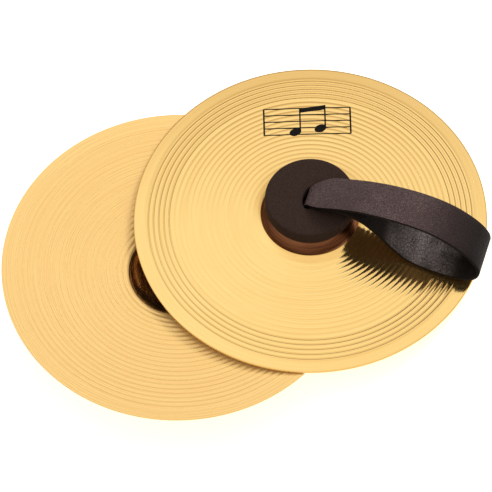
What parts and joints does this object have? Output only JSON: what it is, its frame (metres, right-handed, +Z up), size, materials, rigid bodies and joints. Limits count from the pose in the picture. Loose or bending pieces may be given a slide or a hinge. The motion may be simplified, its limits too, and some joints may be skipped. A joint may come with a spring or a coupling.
{
  "type": "hand cymbals",
  "caption": "Pair of small grooved brass hand cymbals, each with a black bell pad and a folded leather hand strap knotted inside the bell, one lying over the other's rim.",
  "frame": {"origin": "On the table, at the middle of the box that holds both cymbals as they lie.", "axes": "+X runs from the rear (lower) cymbal's centre to the front (upper) cymbal's centre and is the longest extent. +Z is up from the table and is the shortest extent. Both rims lean down by 9.4 degrees towards +X."},
  "size_m": [0.2806, 0.203, 0.0528],
  "materials": {
    "brass_plate": "lathe-turned, bright, with pressed tone grooves",
    "foam_pad": "dense black felt, matte",
    "leather_strap": "dyed split leather, fine grain outside, rough inside"
  },
  "bodies": {
    "rear_cymbal": {"rear_plate": "brass_plate"},
    "rear_strap_swivel": {"rear_strap_stem": "leather_strap", "rear_strap_knot": "leather_strap", "rear_pad": "foam_pad"},
    "rear_hand_loop": {"rear_strap_loop": "leather_strap"},
    "front_cymbal": {"front_plate": "brass_plate"},
    "front_strap_swivel": {"front_strap_stem": "leather_strap", "front_strap_knot": "leather_strap", "front_pad": "foam_pad"},
    "front_hand_loop": {"front_strap_loop": "leather_strap"}
  },
  "joints": [
    {"name": "rear_strap_turn", "type": "hinge", "parent": "rear_cymbal", "child": "rear_strap_swivel", "pos_m": [-0.03996, 0, 0.02951], "axis": [-0.1628, 0, -0.9867], "continuous": true},
    {"name": "rear_loop_fold", "type": "hinge", "parent": "rear_strap_swivel", "child": "rear_hand_loop", "pos_m": [-0.04413, 0, 0.00423], "axis": [0, -1, 0], "range_deg": [0, 118]},
    {"name": "front_cymbal_lift", "type": "slide", "parent": "rear_cymbal", "child": "front_cymbal", "axis": [0, 0, 1], "range_m": [0, 0.15]},
    {"name": "front_strap_turn", "type": "hinge", "parent": "front_cymbal", "child": "front_strap_swivel", "pos_m": [0.03999, 0, 0.01652], "axis": [0.1628, 0, 0.9867], "continuous": true},
    {"name": "front_loop_fold", "type": "hinge", "parent": "front_strap_swivel", "child": "front_hand_loop", "pos_m": [0.04416, 0, 0.0418], "axis": [-0.6006, -0.7934, 0.0991], "range_deg": [0, 118]}
  ]
}
